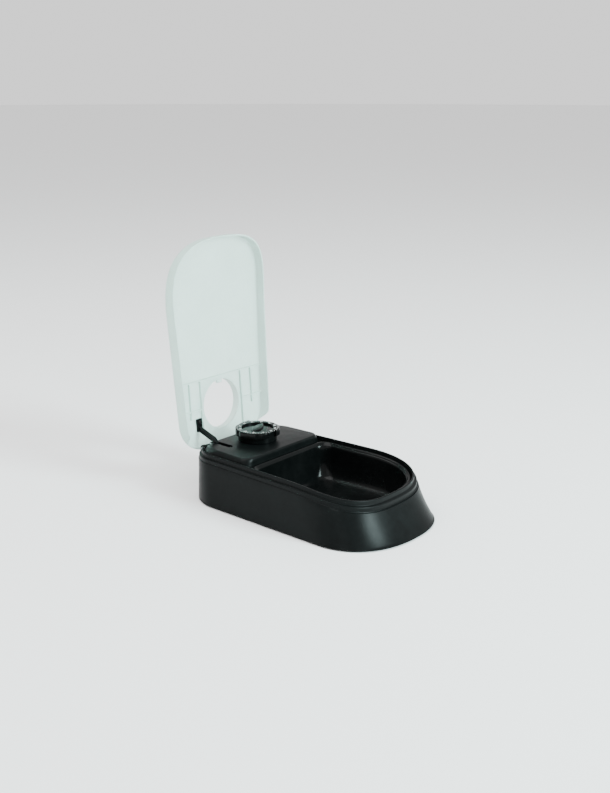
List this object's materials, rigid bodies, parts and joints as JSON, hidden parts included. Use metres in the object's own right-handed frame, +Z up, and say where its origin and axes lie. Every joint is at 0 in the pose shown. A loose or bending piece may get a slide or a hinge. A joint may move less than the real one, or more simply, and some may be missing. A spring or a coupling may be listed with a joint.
{
  "type": "automatic pet feeder",
  "caption": "Timer pet feeder: a flared base with a lift-out bowl, a translucent lid on a spring hinge, and a round clockwork-style dial that holds the lid shut until meal time.",
  "frame": {"origin": "centre of the whole part seen from above, with the lid open as stored, at the height of the surface the rubber feet rest on", "axes": "+Z up; the bowl and the front of the feeder point to -Y, the timer and the lid's hinge to +Y; +X runs to the right of someone who faces the timer side from the bowl; the lid's hinge axis is parallel to X"},
  "size_m": [0.144, 0.2582, 0.2576],
  "materials": {
    "base_plastic": "satin black injection moulding, fine texture",
    "bowl_plastic": "polished black inside",
    "lid_plastic": "milky translucent, lightly frosted",
    "dial_plastic": "polished black",
    "steel": "bright zinc plated",
    "brass": "turned",
    "nylon": "white nylon",
    "case_plastic": "grey moulding",
    "rubber": "matt",
    "cell": "printed sleeve with no words",
    "copper": "enamelled copper wire",
    "board": "green circuit board"
  },
  "bodies": {
    "base": {"base_shell": "base_plastic", "timer_cover": "base_plastic", "torsion_spring_left": "steel", "torsion_spring_right": "steel", "hinge_axle": "steel", "motor_coil": "copper", "circuit_board": "board", "timer_case": "case_plastic", "timer_case_lid": "case_plastic", "case_screw_1": "steel", "case_screw_2": "steel", "cover_screw_1": "steel", "cover_screw_2": "steel", "cover_screw_3": "steel", "cover_screw_4": "steel", "battery": "cell", "contact_minus": "steel", "contact_plus": "steel", "foot_1": "rubber", "foot_2": "rubber", "foot_3": "rubber", "foot_4": "rubber"},
    "lid_body": {"lid": "lid_plastic", "lid_arm_left": "base_plastic", "lid_arm_right": "base_plastic", "lid_rivet_left": "steel", "lid_rivet_right": "steel"},
    "dial": {"dial_ring": "dial_plastic", "dial_cap": "dial_plastic", "dial_shaft": "brass", "dial_wheel": "nylon"},
    "middle_gear": {"middle_wheel": "nylon"},
    "rotor": {"motor_rotor": "nylon"},
    "bowl": {"bowl_tray": "bowl_plastic"},
    "door": {"battery_door": "base_plastic"}
  },
  "joints": [
    {"name": "lid_hinge", "type": "hinge", "parent": "base", "child": "lid_body", "pos_m": [0, 0.1053, 0.047], "axis": [1, 0, 0], "range_deg": [0, 95], "stiffness_Nm_per_rad": 0.08, "springref_deg": -57.3},
    {"name": "dial_turn", "type": "hinge", "parent": "base", "child": "dial", "pos_m": [0, 0.0684, 0.0545], "axis": [0, 0, 1], "range_deg": [-330, 0]},
    {"name": "middle_wheel_turn", "type": "hinge", "parent": "base", "child": "middle_gear", "pos_m": [0, 0.05215, 0.041], "axis": [0, 0, 1], "range_deg": [0, 990]},
    {"name": "rotor_turn", "type": "hinge", "parent": "base", "child": "rotor", "pos_m": [0.01151, 0.05634, 0.038], "axis": [0, 0, 1], "range_deg": [-1980, 0]},
    {"name": "bowl_lift", "type": "slide", "parent": "base", "child": "bowl", "axis": [0, 0, 1], "range_m": [0, 0.08]},
    {"name": "battery_door_drop", "type": "slide", "parent": "base", "child": "door", "axis": [0, 0, -1], "range_m": [0, 0.02]}
  ],
  "couplings": [
    {"joint": "middle_wheel_turn", "follows": "dial_turn", "ratio": -3},
    {"joint": "rotor_turn", "follows": "dial_turn", "ratio": 6}
  ]
}
